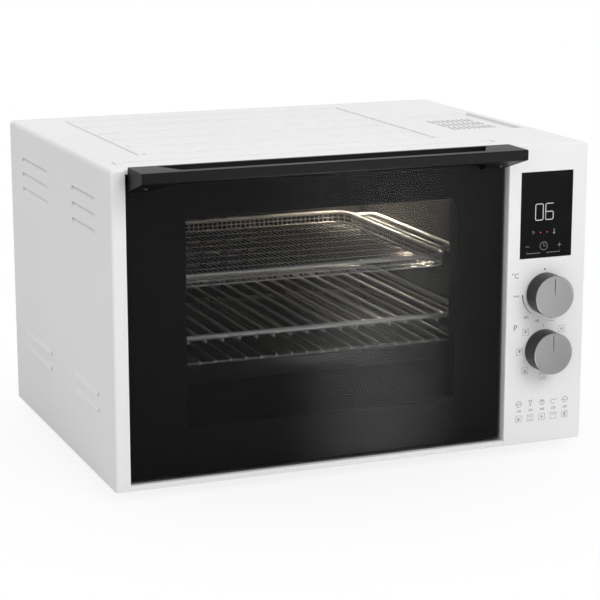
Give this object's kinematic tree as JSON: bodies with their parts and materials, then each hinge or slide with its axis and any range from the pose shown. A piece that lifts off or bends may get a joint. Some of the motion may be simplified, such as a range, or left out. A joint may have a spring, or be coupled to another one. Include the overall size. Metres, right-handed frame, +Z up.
{
  "type": "mini oven",
  "caption": "White countertop oven with a drop-down black glass door, bar handle, display, rotary knobs, wire basket, rack and tray.",
  "frame": {"origin": "centre of the bounding box on the plane that the feet stand on", "axes": "+Z up, the door faces -Y, +X to the right as seen from the front"},
  "size_m": [0.564, 0.481, 0.3608],
  "materials": {
    "white_enamel": "satin white powder coat on steel sheet",
    "galvanised": "zinc-coated sheet",
    "rubber": "matt",
    "screw_steel": "zinc plated",
    "black_plastic": "matt",
    "cavity_enamel": "dark grey fired enamel",
    "silicone": "matt silicone",
    "wool": "glass wool blanket",
    "heater_sheath": "dark heat-tinted sheath",
    "bright_steel": "bright",
    "ceramic_white": "glazed ceramic",
    "lamp_glass": "warm lamp glass",
    "lens_glass": "clear heat-proof glass",
    "display_black": "gloss black",
    "board_green": "circuit board",
    "control_housing": "moulded heat-proof plastic",
    "terminal_plastic": "moulded",
    "loom_sleeve": "braided sleeve",
    "door_glass": "tinted tempered glass",
    "door_black": "black",
    "handle_black": "satin black",
    "knob_charcoal": "satin charcoal",
    "knob_metal": "spun metal",
    "chrome_wire": "bright chrome",
    "tray_enamel": "dark enamel"
  },
  "bodies": {
    "housing": {"outer_shell": "white_enamel", "base_plate": "galvanised", "feet": "rubber", "foot_screws": "screw_steel", "rear_panel": "galvanised", "rear_screws": "screw_steel", "rear_spacers": "black_plastic", "cord_gland": "black_plastic", "door_surround": "white_enamel", "door_sill": "white_enamel", "cavity_liner": "cavity_enamel", "door_seal": "silicone", "control_divider": "galvanised", "insulation_wrap": "wool", "top_heater": "heater_sheath", "bottom_heater": "heater_sheath", "heater_brackets": "bright_steel", "heater_bushes": "ceramic_white", "fan_cover": "cavity_enamel", "fan_motor": "screw_steel", "motor_bracket": "galvanised", "lamp_holder": "ceramic_white", "lamp_bulb": "lamp_glass", "lamp_lens": "lens_glass", "hinge_bracket_left": "galvanised", "hinge_bracket_right": "galvanised", "control_panel": "white_enamel", "display_window": "display_black", "control_bracket": "galvanised", "display_board": "board_green", "touch_pads": "bright_steel", "thermostat": "control_housing", "function_switch": "control_housing", "thermostat_feeler": "bright_steel", "terminal_block": "terminal_plastic", "wiring_loom": "loom_sleeve"},
    "door": {"outer_glass": "door_glass", "door_frame": "door_black", "inner_glass": "door_glass", "glass_clips": "bright_steel", "door_handle": "handle_black", "handle_screws": "screw_steel", "hinge_pins": "screw_steel", "door_stay_left": "bright_steel", "door_stay_right": "bright_steel"},
    "fan": {"fan_blade": "bright_steel", "fan_shaft": "screw_steel"},
    "temperature_control": {"temperature_shaft": "screw_steel", "temperature_knob": "knob_charcoal", "temperature_knob_cap": "knob_metal"},
    "function_control": {"function_shaft": "screw_steel", "function_knob": "knob_charcoal", "function_knob_cap": "knob_metal"},
    "basket": {"fry_basket": "chrome_wire"},
    "rack": {"wire_rack": "chrome_wire"},
    "tray": {"baking_tray": "tray_enamel", "roasting_grid": "chrome_wire"}
  },
  "joints": [
    {"name": "door_hinge", "type": "hinge", "parent": "housing", "child": "door", "pos_m": [-0.0415, -0.1775, 0.027], "axis": [1, 0, 0], "range_deg": [0, 82]},
    {"name": "temperature_turn", "type": "hinge", "parent": "housing", "child": "temperature_control", "pos_m": [0.2294, -0.2045, 0.188], "axis": [0, 1, 0], "range_deg": [0, 270]},
    {"name": "function_turn", "type": "hinge", "parent": "housing", "child": "function_control", "pos_m": [0.2294, -0.2045, 0.122], "axis": [0, 1, 0], "continuous": true},
    {"name": "fan_spin", "type": "hinge", "parent": "housing", "child": "fan", "pos_m": [-0.0415, 0.1735, 0.188], "axis": [0, 1, 0], "continuous": true},
    {"name": "basket_slide", "type": "slide", "parent": "housing", "child": "basket", "axis": [0, -1, 0], "range_m": [0, 0.012]},
    {"name": "rack_slide", "type": "slide", "parent": "housing", "child": "rack", "axis": [0, -1, 0], "range_m": [0, 0.012]},
    {"name": "tray_slide", "type": "slide", "parent": "housing", "child": "tray", "axis": [0, -1, 0], "range_m": [0, 0.012]}
  ]
}
